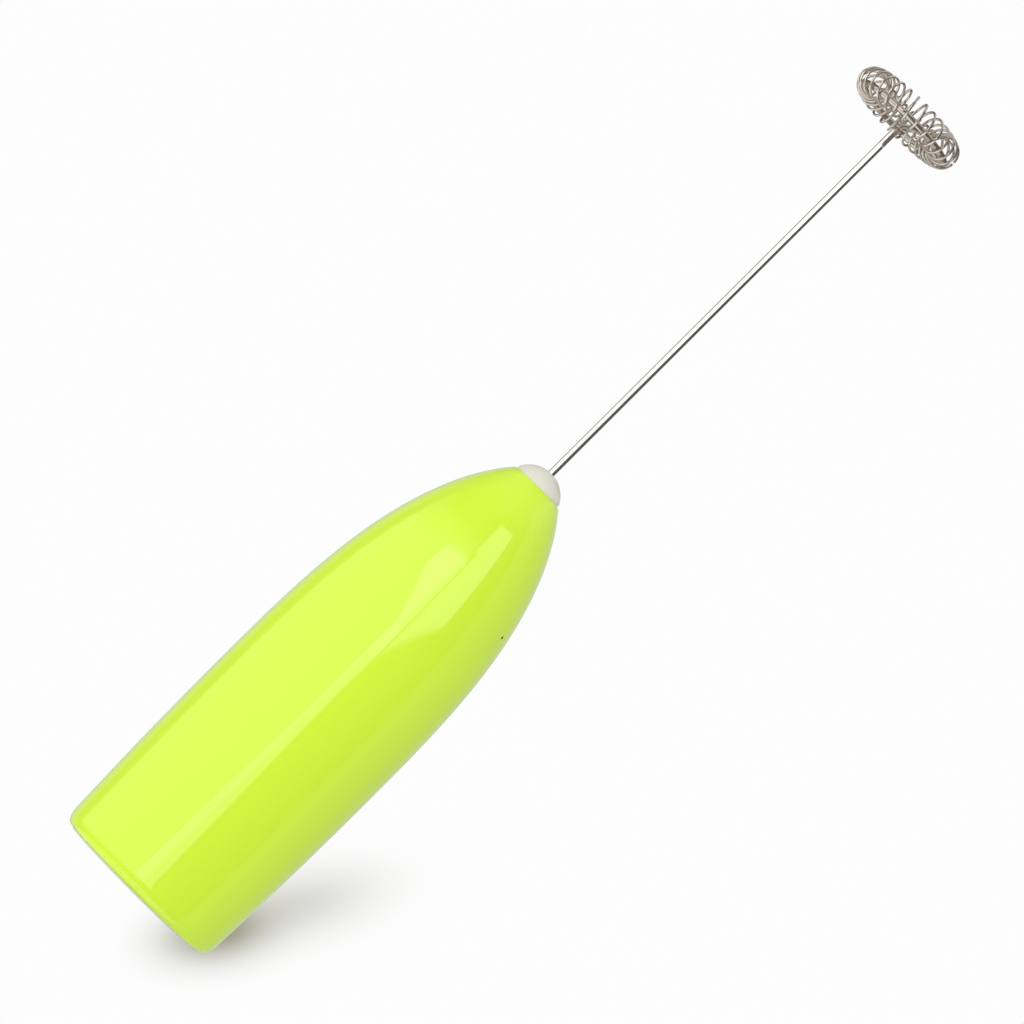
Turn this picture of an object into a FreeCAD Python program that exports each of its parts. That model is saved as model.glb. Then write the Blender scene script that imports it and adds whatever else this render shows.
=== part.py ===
"""Battery milk frother: a one-piece oval shell over a core that carries two AA cells, a small
motor, an end switch and a coil whisk. Millimetres, +Z from the flat base up to the whisk,
origin at the centre of the base."""
import FreeCAD, Part
import math
import os
import re

from FreeCAD import Rotation, Vector

DRIVING_SIZES = {
    # outer shell
    "shell_length": 106.85,
    "half_width": 19.4,
    "half_depth": 14.3,
    "belly_height": 42.2,
    "base_pinch": 0.9,
    "nose_reach": 68.6,
    "nose_power": 3.0,
    "nose_root": 1.46,
    "rounding_power": 3.0,
    "shell_wall": 1.7,
    "base_round": 1.5,
    "lip_round": 0.25,
    "mouth_radius": 5.4,
    "shell_lift": 0.4,
    "pinhole_radius": 0.3,
    # core
    "core_gap": 0.4,
    "cap_thick": 3.0,
    "plug_depth": 2.0,
    "wall": 1.3,
    "contact_rear": 11.0,
    "contact_front": 64.1,
    "contact_thick": 0.3,
    "contact_half": 4.0,
    "leg_back": 9.35,
    "foot_height": 66.4,
    "pad_offset": 3.0,
    "pad_width": 2.2,
    "spring_wire": 0.3,
    "bulkhead": 1.6,
    "bay_edge": 1.5,
    "clip_reach": 6.2,
    "core_top": 99.0,
    "socket_floor": 95.0,
    # AA cells
    "cell_radius": 7.25,
    "cell_length": 49.5,
    "nub_radius": 2.75,
    "nub_height": 1.0,
    "cell_offset": 7.7,
    "cell_gap": 0.2,
    # motor
    "motor_rear": 68.0,
    "motor_length": 25.0,
    "motor_radius": 10.05,
    "motor_half_flat": 7.55,
    "can_wall": 0.5,
    "motor_shaft_radius": 1.0,
    "shaft_gap": 0.05,
    "boss_radius": 3.05,
    "boss_height": 1.5,
    "bush_radius": 1.6,
    "magnet_bore": 7.2,
    "armature_radius": 6.8,
    "pole_low": 75.5,
    "pole_length": 12.0,
    # nose
    "dome_radius": 5.25,
    "dome_curve": 6.0,
    "dome_centre": 105.0,
    "shoulder_top": 104.0,
    "nose_cavity": 3.1,
    "nose_roof": 109.0,
    "nose_hole": 1.0,
    # whisk
    "rod_radius": 0.7,
    "rod_foot": 101.6,
    "ring_height": 206.7,
    "ring_radius": 9.4,
    "coil_radius": 2.85,
    "coil_wire": 0.25,
    "coil_turns": 28.0,
    "loop_radius": 10.7,
    "loop_drop": 1.3,
    # switch
    "recess_length": 15.0,
    "recess_width": 8.0,
    "recess_depth": 1.8,
    "knob_length": 8.6,
    "knob_width": 7.4,
    "knob_height": 1.5,
    "switch_rest": -2.0,
    "switch_travel": 4.0,
}
DERIVED_SIZES = {
    "bay_low": "=contact_rear - contact_thick",
    "bay_high": "=contact_front + contact_thick",
    "motor_front": "=motor_rear + motor_length",
    "stem_slot": "=switch_travel + 4.2",
}

doc = FreeCAD.newDocument("milk_frother")
sheet = doc.addObject("Spreadsheet::Sheet", "dims")
SIZES = {**DRIVING_SIZES, **DERIVED_SIZES}
for row, (alias, value) in enumerate(SIZES.items(), start=1):
    sheet.set(f"A{row}", alias)
    sheet.set(f"B{row}", str(value))
    sheet.setAlias(f"B{row}", alias)
doc.recompute()

pieces = []


def size(alias):
    """The sheet's value of one driving size."""
    return float(sheet.get(alias))


def linked(expression):
    """The expression with each driving size turned into a reference to the sheet."""
    return re.sub(r"[a-z_]+[a-z]", lambda m: f"dims.{m[0]}" if m[0] in SIZES else m[0],
                  str(expression))


def bind(obj, **expressions):
    for prop, expression in expressions.items():
        obj.setExpression(prop, linked(expression))
    return obj


def place(obj, x="0", y="0", z="0"):
    obj.setExpression("Placement.Base.x", linked(x))
    obj.setExpression("Placement.Base.y", linked(y))
    obj.setExpression("Placement.Base.z", linked(z))
    return obj


def box(length, width, height, x="0", y="0", z="0"):
    """A block centred on x and y that stands on z."""
    obj = bind(doc.addObject("Part::Box", "block"), Length=length, Width=width, Height=height)
    return place(obj, f"{x} - ({length}) / 2", f"{y} - ({width}) / 2", z)


def cylinder(radius, height, x="0", y="0", z="0"):
    obj = bind(doc.addObject("Part::Cylinder", "round"), Radius=radius, Height=height)
    return place(obj, x, y, z)


def cone(radius_low, radius_high, height, x="0", y="0", z="0"):
    obj = bind(doc.addObject("Part::Cone", "taper"), Radius1=radius_low, Radius2=radius_high,
               Height=height)
    return place(obj, x, y, z)


def ball(radius, z):
    obj = bind(doc.addObject("Part::Sphere", "ball"), Radius=radius)
    return place(obj, z=z)


def fuse(*parts):
    obj = doc.addObject("Part::MultiFuse", "joined")
    obj.Shapes = list(parts)
    obj.Refine = True
    return obj


def cut(base, *tools):
    for tool in tools:
        obj = doc.addObject("Part::Cut", "cut")
        obj.Base, obj.Tool = base, tool
        base = obj
    return base


def common(first, second):
    obj = doc.addObject("Part::Common", "overlap")
    obj.Base, obj.Tool = first, second
    return obj


def solid_feature(shape):
    """An object that holds a shape made with Part's own functions."""
    obj = doc.addObject("Part::Feature", "formed")
    obj.Shape = shape
    return obj


def rounded(base, radius, chosen):
    """Rounds the edges of base for which chosen(edge) is true."""
    doc.recompute()
    numbers = [n for n, e in enumerate(base.Shape.Edges, start=1) if chosen(e)]
    obj = doc.addObject("Part::Fillet", "softened")
    obj.Base = base
    obj.Edges = [(n, radius, radius) for n in numbers]
    return obj


def named(obj, label):
    obj.Label = label
    pieces.append(obj)
    return obj


# ---------------------------------------------------------------- oval sections

def oval_width(z):
    """Expression for the shell's half width at height z over its own base."""
    below = f"half_width - base_pinch * ((belly_height - ({z})) / belly_height) ^ 2"
    nose = (f"half_width * (1 - (max({z}; belly_height) - belly_height) ^ nose_power"
            f" / nose_reach ^ nose_power) ^ (1 / nose_root)")
    return f"(({z}) < belly_height ? ({below}) : ({nose}))"


def oval_ratio(z):
    """Depth over width: constant up to the belly, then turning round towards the mouth."""
    share = f"((max({z}; belly_height) - belly_height) / (shell_length - belly_height))"
    return f"(half_depth / half_width + (1 - half_depth / half_width) * {share} ^ rounding_power)"


def oval(z, inset):
    """An ellipse at height z over the shell's base, drawn in from the outer surface by inset."""
    width = oval_width(z)
    obj = doc.addObject("Part::Ellipse", "section")
    bind(obj, MajorRadius=f"{width} - ({inset})",
         MinorRadius=f"{width} * {oval_ratio(z)} - ({inset}) - 0.001")
    return place(obj, z=f"({z}) + shell_lift")


def oval_loft(heights, inset, ruled=False):
    obj = doc.addObject("Part::Loft", "oval_body")
    obj.Sections = [oval(z, inset) for z in heights]
    obj.Solid = True
    obj.Ruled = ruled
    return obj


def oval_prism(height, width_inset, z_low, z_reference="0"):
    """A straight oval block with the shell's outline at z_reference, drawn in by width_inset."""
    outline = oval(z_reference, width_inset)
    place(outline, z=z_low)
    obj = doc.addObject("Part::Extrusion", "oval_block")
    obj.Base = outline
    obj.DirMode = "Custom"
    obj.Dir = Vector(0, 0, 1)
    obj.Solid = True
    bind(obj, LengthFwd=height)
    return obj


SHELL_STATIONS = [f"shell_length * {share}" for share in
                  (0, 0.13, 0.26, 0.39, 0.52, 0.62, 0.71, 0.79, 0.86, 0.915, 0.96, 1)]


# ---------------------------------------------------------------- shell

def outer_shell():
    """One-piece oval shell, hollow, open at the base and at the round mouth."""
    body = oval_loft(SHELL_STATIONS, "0")
    base, top = size("shell_lift"), size("shell_lift") + size("shell_length")
    body = rounded(body, size("base_round"), lambda e: e.BoundBox.ZMax < base + 0.01)
    body = rounded(body, size("lip_round"), lambda e: e.BoundBox.ZMin > top - 0.01)
    hollow = oval_loft(["-1"] + SHELL_STATIONS, "shell_wall")
    mouth = cylinder("mouth_radius", "8", z="shell_lift + shell_length - 4")
    pinhole = cylinder("pinhole_radius", "6", x="12.8", y="-3.0", z="81.8")
    pinhole.Placement.Rotation = Rotation(Vector(0, 0, 1), Vector(2.7, -2.4, 0.6))
    return named(cut(body, hollow, mouth, pinhole), "outer_shell")


# ---------------------------------------------------------------- core

def base_cap():
    """End plate with the switch recess, and a rim that locates in the core."""
    plate = oval_prism("cap_thick", "shell_wall + core_gap / 2", "0")
    plate = rounded(plate, 0.4, lambda e: e.BoundBox.ZMax < 0.01)
    plug = oval_prism("plug_depth + 0.2", "shell_wall + core_gap + wall + 0.1", "cap_thick - 0.2")
    hollow = oval_prism("plug_depth + 1", "shell_wall + core_gap + 2 * wall + 0.1", "cap_thick")
    strip_notch = box("3.6", "8", "plug_depth + 1", x="cell_offset", y="9", z="cap_thick")
    recess = box("recess_length", "recess_width", "recess_depth + 1", z="-1")
    recess = rounded(recess, 1.2, upright_edge)
    slot = box("stem_slot", "3", "4")
    return named(cut(fuse(plate, cut(plug, hollow, strip_notch)), recess, slot), "base_cap")


def upright_edge(edge):
    return edge.BoundBox.ZLength > 1 and edge.BoundBox.XLength + edge.BoundBox.YLength < 0.01


def chassis_frame():
    """The moulded core: switch chamber, two cell troughs with clips, motor cradle, nose socket.
    It is nowhere wider than the shell's base opening, so the shell slides off it."""
    stations = ["cap_thick - shell_lift"] + SHELL_STATIONS[1:9] + ["core_top - shell_lift"]
    core = common(oval_loft(stations, "shell_wall + core_gap"),
                  oval_prism("core_top", "shell_wall + core_gap", "0"))
    chamber = oval_prism("bay_low - bulkhead - cap_thick + 1", "shell_wall + core_gap + wall",
                         "cap_thick - 1")
    return named(cut(core, chamber, *bay_cuts(), *strip_cuts(), *motor_cuts()), "chassis_frame")


def bay_cuts():
    """Troughs for the cells, open on the -Y side except at two pairs of clips."""
    troughs = [cylinder("cell_radius + cell_gap", "bay_high - bay_low", x=x, z="bay_low")
               for x in ("-cell_offset", "cell_offset")]
    open_front = [box("60", "30", "13.3", y="-15 - bay_edge", z="bay_low"),
                  box("60", "30", "11", y="-15 - bay_edge", z="bay_low + 21.3"),
                  box("60", "30", "bay_high - bay_low - 40.3", y="-15 - bay_edge",
                      z="bay_low + 40.3")]
    between_clips = box("2 * cell_offset + 9.6", "30", "bay_high - bay_low", y="-15 - bay_edge",
                        z="bay_low")
    clip_tips = box("60", "30", "bay_high - bay_low", y="-15 - clip_reach", z="bay_low")
    middle_window = box("5", "30", "bay_high - bay_low - 12", y="7", z="bay_low + 6")
    return troughs + open_front + [between_clips, clip_tips, middle_window]


def strip_cuts():
    """Grooves on the back for the two brass strips, and the slots that let them in."""
    grooves = [box("3.6", "4", "motor_rear + 2 - bay_low", x=x, y="11", z="bay_low")
               for x in ("-cell_offset", "cell_offset")]
    low_groove = box("3.6", "6", "bay_low - cap_thick + 0.3", x="cell_offset", y="11",
                     z="cap_thick - 0.1")
    positive_slot = box("6.4", "8", "contact_thick + 0.2", x="-cell_offset", y="6.2",
                        z="bay_low - 0.1")
    negative_slot = box("3", "0.9", "bulkhead + 0.4", x="cell_offset", y="-3.15",
                        z="bay_low - bulkhead - 0.2")
    bridge_slot = box("2 * cell_offset + 6.4", "12", "contact_thick + 0.1", y="1.5",
                      z="contact_front - 0.1")
    terminal_ways = [box("2.6", "6.4", "3.6", x=x, y="6.9", z="motor_rear - 1.9")
                     for x in ("-cell_offset", "cell_offset")]
    return grooves + [low_groove, positive_slot, negative_slot, bridge_slot] + terminal_ways


def motor_cuts():
    """The motor's cradle, open on the -Y side, and the socket for the nose cap."""
    cradle = motor_outline("motor_rear - 0.15", "motor_length + 0.3", "0.15")
    mouth = box("2 * motor_radius - 1.4", "30", "motor_length + 0.3", y="-15",
                z="motor_rear - 0.15")
    window = box("11", "10", "motor_length - 9", y="12", z="motor_rear + 4.5")
    rear_boss = cylinder("5.3", "1.6", z="motor_rear - 1.5")
    front_boss = cylinder("boss_radius + 0.15", "8", z="motor_rear + motor_length - 1")
    socket = cylinder("dome_radius + 0.4", "8", z="socket_floor")
    return [cradle, mouth, window, rear_boss, front_boss, socket]


def nose_cap():
    """The pale dome that shows in the shell's mouth, with the tail that plugs into the core."""
    tail = cylinder("dome_radius + 0.3", "core_top - socket_floor - 0.2", z="socket_floor + 0.2")
    collar = cone("dome_radius + 1.5", "dome_radius + 0.6", "shoulder_top - core_top - 0.05",
                  z="core_top + 0.05")
    neck = cylinder("dome_radius", "dome_centre - core_top", z="core_top")
    dome = common(cylinder("dome_radius", "dome_curve + 0.5", z="dome_centre - 0.5"),
                  ball("dome_curve", "dome_centre"))
    cavity = cylinder("nose_cavity", "nose_roof - 95", z="95")
    hole = cylinder("nose_hole", "30", z="100")
    return named(cut(fuse(tail, neck, collar, dome), cavity, hole), "nose_cap")


# ---------------------------------------------------------------- cells and contacts

def battery_cell(label, x, nub_up):
    low = "contact_front - nub_height - cell_length" if nub_up else "contact_rear + nub_height"
    nub_low = "contact_front - nub_height - 0.1" if nub_up else "contact_rear"
    can = cylinder("cell_radius", "cell_length", x=x, z=low)
    can = rounded(can, 0.5, lambda e: e.BoundBox.XLength > 10 and e.BoundBox.ZLength < 0.01)
    nub = cylinder("nub_radius", "nub_height + 0.1", x=x, z=nub_low)
    return named(fuse(can, nub), label)


def contact_spring(label, x, z_low, z_high, radius_low, radius_high, turns=3):
    """A conical spring between two heights."""
    wire = size("spring_wire")
    low, high = z_low + wire + 0.02, z_high - wire - 0.02

    def point(share):
        angle = 2 * math.pi * turns * share
        radius = radius_low + (radius_high - radius_low) * share
        return Vector(x + radius * math.cos(angle), radius * math.sin(angle),
                      low + (high - low) * share)

    return named(wound_wire(point, 6 * turns, wire), label)


def wound_wire(point, steps, wire):
    """A round wire along point(share), drawn as pairs of arcs that meet without a kink."""
    edges = []
    for n in range(steps):
        edges += arc_pair(point, n / steps, (n + 1) / steps)
    return solid_feature(piped(Part.Wire(edges), wire))


def arc_pair(point, low, high):
    """Two circular arcs between two places on a curve, with the curve's heading at both ends."""
    start, end = point(low), point(high)
    heading_in, heading_out = heading(point, low), heading(point, high)
    chord = end - start
    both = heading_in + heading_out
    spread = 2 * (1 - heading_in.dot(heading_out))
    along = chord.dot(both)
    reach = (math.sqrt(along ** 2 + spread * chord.dot(chord)) - along) / spread
    middle = (start + heading_in * reach + end - heading_out * reach) / 2
    return [Part.Arc(start, bulge(start, heading_in, middle), middle).toShape(),
            Part.Arc(middle, bulge(end, heading_out * -1, middle), end).toShape()]


def heading(point, share, step=1e-6):
    direction = point(share + step) - point(share - step)
    return direction.normalize()


def bulge(start, direction, end):
    """The middle of the arc that leaves start along direction and stops at end."""
    chord = end - start
    inward = direction.cross(chord).cross(direction).normalize()
    radius = chord.dot(chord) / (2 * chord.dot(inward))
    centre = start + inward * radius
    outward = (start - centre) + (end - centre)
    return centre + outward.normalize() * radius


def piped(path, wire):
    """A round wire of the given radius along a path."""
    first = path.OrderedEdges[0]
    origin = first.valueAt(first.FirstParameter)
    section = Part.Wire([Part.makeCircle(wire, origin, first.tangentAt(first.FirstParameter))])
    return path.makePipeShell([section], True, True)


def positive_strip():
    """Plate under the nub of cell b, with a leg up the back to the motor."""
    plate = box("6", "2 * contact_half", "contact_thick", x="-cell_offset", z="bay_low")
    tongue = box("3", "leg_back", "contact_thick", x="-cell_offset", y="leg_back / 2", z="bay_low")
    return named(fuse(plate, tongue, *strip_leg("-cell_offset", "bay_low")), "positive_strip")


def negative_strip():
    """Switch pad in the end chamber, with a leg up the back to the motor."""
    pad = box("17.2", "pad_width", "contact_thick", x="0.6", y="pad_offset", z="cap_thick")
    arm = box("3", "leg_back - pad_offset", "contact_thick", x="cell_offset",
              y="(leg_back + pad_offset) / 2", z="cap_thick")
    return named(fuse(pad, arm, *strip_leg("cell_offset", "cap_thick")), "negative_strip")


def strip_leg(x, z_low):
    leg = box("3", "contact_thick", f"foot_height + contact_thick - {z_low}", x=x,
              y="leg_back - contact_thick / 2", z=z_low)
    foot = box("2", "leg_back - 4.2", "contact_thick", x=x, y="(leg_back + 4.2) / 2",
               z="foot_height")
    return leg, foot


def negative_contact():
    """Plate under the spring of cell a, with a tab down to the switch's other pad."""
    plate = box("6", "2 * contact_half", "contact_thick", x="cell_offset", z="bay_low")
    tab = box("2.4", "contact_thick", "bay_low - cap_thick + contact_thick", x="cell_offset",
              y="-pad_offset - 0.15", z="cap_thick")
    pad = box("6.2", "pad_width", "contact_thick", x="5.8", y="-pad_offset", z="cap_thick")
    return named(fuse(plate, tab, pad), "negative_contact")


def front_bridge():
    """Plate that joins the two cells in series."""
    return named(box("2 * cell_offset + 6", "2 * contact_half", "contact_thick",
                     z="contact_front"), "front_bridge")


# ---------------------------------------------------------------- motor

def motor_outline(z, height, grow):
    """The motor's section: a circle cut by two flats, grown on every side."""
    barrel = cylinder(f"motor_radius + {grow}", height, z=z)
    slab = box("60", f"2 * (motor_half_flat + {grow})", height, z=z)
    return common(barrel, slab)


def tube(outer, inner, height, z):
    return cut(cylinder(outer, height, z=z), cylinder(inner, f"{height} + 2", z=f"{z} - 1"))


def motor_can():
    """Drawn steel can with the front bearing boss."""
    can = motor_outline("motor_rear + 2", "motor_length - 2", "0")
    boss = cylinder("boss_radius", "boss_height + 0.1", z="motor_front - 0.1")
    inside = motor_outline("motor_rear + 1", "motor_length - 1 - can_wall", "-can_wall")
    hole = cylinder("bush_radius", "6", z="motor_front - 2")
    return named(cut(fuse(can, boss), inside, hole), "motor_can")


def motor_end_bell():
    """Plastic end of the motor, which holds the brushes and the rear bush."""
    flange = motor_outline("motor_rear", "2", "0")
    plug = motor_outline("motor_rear + 1.9", "1.9", "-can_wall - 0.02")
    boss = cylinder("5", "1.2", z="motor_rear - 1.1")
    brush_room = box("9", "8", "4", z="motor_rear + 1")
    hole = cylinder("bush_radius", "6", z="motor_rear - 2")
    tab_slots = [box("2", "0.4", "1.2", x=x, y="5", z="motor_rear - 0.1")
                 for x in ("-cell_offset", "cell_offset")]
    return named(cut(fuse(flange, plug, boss), brush_room, hole, *tab_slots), "motor_end_bell")


def bush(label, z, height):
    return named(tube("bush_radius", "motor_shaft_radius + shaft_gap", height, z), label)


def magnet(label, side):
    ring = tube("motor_radius - can_wall - 0.02", "magnet_bore", "17", "motor_rear + 5")
    return named(common(ring, box("5.4", "11", "17", x=f"{side} * 7.3", z="motor_rear + 5")), label)


def motor_terminals():
    """Two tabs in the end bell that touch the ends of the strips."""
    tabs = [box("2", "0.4", "motor_rear + 1.1 - foot_height - contact_thick", x=x, y="5",
                z="foot_height + contact_thick") for x in ("-cell_offset", "cell_offset")]
    return named(fuse(*tabs), "motor_terminals")


def motor_brushes():
    """Two leaf brushes beside the commutator."""
    leaves = [box("9", "0.25", "1.8", y=y, z="motor_rear + 2.1") for y in ("-2.6", "2.6")]
    return named(fuse(*leaves), "motor_brushes")


# ---------------------------------------------------------------- rotor

def radial_box(start, length, width, z, height, angle):
    """A block that runs outwards from the axis at an angle."""
    obj = bind(doc.addObject("Part::Box", "radial"), Length=length, Width=width, Height=height)
    turn = Rotation(Vector(0, 0, 1), angle)
    corner = turn.multVec(Vector(start, -obj_size(width) / 2, 0))
    obj.Placement = FreeCAD.Placement(Vector(corner.x, corner.y, obj_size(z)), turn)
    return obj


def obj_size(expression):
    return expression if isinstance(expression, (int, float)) else size(expression)


def armature_core():
    """Three-pole laminated core."""
    hub = cylinder("2.4", "pole_length", z="pole_low")
    arms = [radial_box(0, 6, 2.4, "pole_low", "pole_length", angle) for angle in (0, 120, 240)]
    shoes = tube("armature_radius", "armature_radius - 1.4", "pole_length", "pole_low")
    gaps = [radial_box(4, 4, 1.6, "pole_low", "pole_length", angle) for angle in (60, 180, 300)]
    shaft_hole = cylinder("motor_shaft_radius", "pole_length + 2", z="pole_low - 1")
    return named(cut(fuse(hub, *arms, cut(shoes, *gaps)), shaft_hole), "armature_core")


def armature_windings():
    """One copper winding on each pole."""
    low, height = size("pole_low") - 1.2, size("pole_length") + 2.4
    coils = []
    for angle in (0, 120, 240):
        block = radial_box(2.6, 2.25, 4.4, low, height, angle)
        ends = lambda e: e.BoundBox.ZLength < 0.01 and 2.2 < e.Length < 2.3
        block = rounded(block, 1.0, ends)
        coils.append(cut(block, radial_box(0, 6, 2.4, "pole_low", "pole_length", angle)))
    return named(fuse(*coils), "armature_windings")


def commutator():
    ring = tube("2.3", "motor_shaft_radius", "4", "motor_rear + 1.4")
    slits = [radial_box(1.7, 2, 0.3, size("motor_rear") + 1, 3.4, angle)
             for angle in (60, 180, 300)]
    return named(cut(ring, *slits), "commutator")


def motor_shaft():
    return named(cylinder("motor_shaft_radius", "33.8", z="motor_rear - 0.8"), "motor_shaft")


def drive_coupling():
    """Sleeve that joins the motor's shaft and the whisk's stem."""
    sleeve = cylinder("2.2", "12.4", z="socket_floor + 0.6")
    sleeve = rounded(sleeve, 0.4, lambda e: e.BoundBox.XLength > 4 and e.BoundBox.ZLength < 0.01)
    low_hole = cylinder("motor_shaft_radius", "rod_foot - 95.6", z="95.1")
    high_hole = cylinder("rod_radius", "10", z="rod_foot")
    return named(cut(sleeve, low_hole, high_hole), "drive_coupling")


# ---------------------------------------------------------------- whisk

def whisk_rod():
    """One wire: straight stem, arched spoke, and the round loop that carries the coil."""
    loop, bend = size("loop_radius"), 1.8
    level = size("ring_height") - size("loop_drop")
    turn_in = math.sqrt(loop ** 2 - 2 * loop * bend)
    corners = [(Vector(0, 0, level - 0.8), 1.2), (Vector(5.0, 0, level + 2.1), 3.0),
               (Vector(8.2, 0, level), 1.6)]
    edges = rounded_path(Vector(0, 0, size("rod_foot")), corners, Vector(turn_in, 0, level))
    join = math.atan2(bend, turn_in)
    half = math.pi / 4 + join / 2
    edges.append(Part.Arc(Vector(turn_in, 0, level),
                          Vector(turn_in + bend * math.sin(half), bend * (1 - math.cos(half)), level),
                          on_circle(loop, join, level)).toShape())
    finish = math.radians(354)
    halfway = (join + finish) / 2
    for low, high in ((join, halfway), (halfway, finish)):
        edges.append(Part.Arc(on_circle(loop, low, level), on_circle(loop, (low + high) / 2, level),
                              on_circle(loop, high, level)).toShape())
    wire = piped(Part.Wire(edges), size("rod_radius"))
    return named(solid_feature(wire), "whisk_rod")


def on_circle(radius, angle, z):
    return Vector(radius * math.cos(angle), radius * math.sin(angle), z)


def rounded_path(start, corners, end):
    """Straight runs between corners that are each rounded to a radius."""
    edges, here = [], start
    stops = [corner for corner, _ in corners[1:]] + [end]
    for (corner, radius), following in zip(corners, stops):
        before, after = (corner - here).normalize(), (following - corner).normalize()
        reach = radius * math.tan(before.getAngle(after) / 2)
        bend_in, bend_out = corner - before * reach, corner + after * reach
        edges.append(Part.LineSegment(here, bend_in).toShape())
        edges.append(Part.Arc(bend_in, bulge(bend_in, before, bend_out), bend_out).toShape())
        here = bend_out
    edges.append(Part.LineSegment(here, end).toShape())
    return edges


def whisk_coil():
    """A long spring bent round into a ring, with a gap for the spoke."""
    ring, coil, turns = size("ring_radius"), size("coil_radius"), size("coil_turns")
    start, sweep = math.radians(8), math.radians(343)

    def point(share):
        winding = 2 * math.pi * turns * share
        reach = ring + coil * math.cos(winding)
        return on_circle(reach, start + sweep * share,
                         size("ring_height") - coil * math.sin(winding))

    return named(wound_wire(point, int(4 * turns), size("coil_wire")), "whisk_coil")


# ---------------------------------------------------------------- switch

def switch_slider():
    """Ridged knob in the base recess, with the stem that carries the wiper."""
    knob = box("knob_length", "knob_width", "knob_height", x="switch_rest", z="0.2")
    knob = rounded(knob, 0.9, upright_edge)
    grooves = [box("0.6", "5.6", "0.8", x=f"switch_rest + {x}", z="-0.2")
               for x in (-2.8, -1.4, 0, 1.4, 2.8)]
    stem = box("3.4", "2.6", "3.2", x="switch_rest", z="1.5")
    head = box("4.6", "4", "1.1", x="switch_rest", z="cap_thick + 0.65")
    return named(fuse(cut(knob, *grooves), stem, head), "switch_slider")


def switch_wiper():
    plate = box("8", "7.4", "0.3", x="switch_rest", z="cap_thick + 0.35")
    hole = box("3.4", "2.6", "2", x="switch_rest", z="cap_thick - 0.5")
    return named(cut(plate, hole), "switch_wiper")


# ---------------------------------------------------------------- build, check, write

def build():
    outer_shell()
    base_cap()
    chassis_frame()
    nose_cap()
    positive_strip()
    negative_strip()
    negative_contact()
    front_bridge()
    offset, rear, front = size("cell_offset"), size("contact_rear"), size("contact_front")
    contact_spring("rear_spring", offset, rear, rear + 2.6, 3.6, 2.4)
    contact_spring("front_spring", -offset, front - 2.6, front, 2.4, 3.6)
    battery_cell("battery_cell_a", "cell_offset", nub_up=True)
    battery_cell("battery_cell_b", "-cell_offset", nub_up=False)
    motor_can()
    motor_end_bell()
    magnet("motor_magnet_left", "-1")
    magnet("motor_magnet_right", "1")
    bush("motor_rear_bush", "motor_rear - 1", "2")
    bush("motor_front_bush", "motor_front - 0.5", "1.9")
    motor_terminals()
    motor_brushes()
    motor_shaft()
    armature_core()
    armature_windings()
    commutator()
    drive_coupling()
    whisk_rod()
    whisk_coil()
    switch_slider()
    switch_wiper()


def check():
    faulty = [obj.Name for obj in doc.Objects if "Invalid" in obj.State or "Error" in obj.State]
    assert not faulty, f"features that failed: {faulty}"
    for obj in pieces:
        assert not obj.Shape.isNull() and obj.Shape.isValid(), f"{obj.Label} is not valid"
        assert obj.Shape.Solids and obj.Shape.Volume > 0.05, f"{obj.Label} is empty"
    volumes = {obj.Label: obj.Shape.Volume for obj in pieces}
    assert volumes["outer_shell"] < 20000, "the shell is not hollow"
    assert volumes["chassis_frame"] < 25000, "the core has no bay"
    assert volumes["nose_cap"] < 1250, "the nose has no cavity"


build()
doc.recompute()
check()
os.makedirs("parts", exist_ok=True)
for piece in pieces:
    piece.Shape.exportStep(f"parts/{piece.Label}.step")
    print(piece.Label, round(piece.Shape.Volume, 2), len(piece.Shape.Solids))
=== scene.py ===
"""Looks of a battery milk frother: lime oval shell, pale nose, steel whisk, and the core inside.
Everything is in metres, in the CAD model's frame: +Z from the base cap up to the whisk."""

import math

import bmesh
import bpy
from mathutils import Matrix, Vector


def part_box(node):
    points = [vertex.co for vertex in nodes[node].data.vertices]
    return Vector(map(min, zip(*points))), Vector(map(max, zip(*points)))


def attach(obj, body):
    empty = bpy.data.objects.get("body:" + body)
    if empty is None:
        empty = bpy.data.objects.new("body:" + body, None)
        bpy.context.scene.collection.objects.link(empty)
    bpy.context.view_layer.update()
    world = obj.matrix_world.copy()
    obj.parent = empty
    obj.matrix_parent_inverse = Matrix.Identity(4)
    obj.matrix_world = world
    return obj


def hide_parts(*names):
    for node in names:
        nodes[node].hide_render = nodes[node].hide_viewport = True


MM = 0.001
TAU = 2 * math.pi

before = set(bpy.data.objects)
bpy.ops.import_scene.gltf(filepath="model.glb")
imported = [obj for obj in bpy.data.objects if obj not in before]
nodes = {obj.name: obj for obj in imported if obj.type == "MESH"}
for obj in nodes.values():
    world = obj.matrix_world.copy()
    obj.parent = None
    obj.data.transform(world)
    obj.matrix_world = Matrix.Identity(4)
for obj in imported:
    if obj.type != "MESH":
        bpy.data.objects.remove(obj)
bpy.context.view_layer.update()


# ---------------------------------------------------------------- materials

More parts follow.
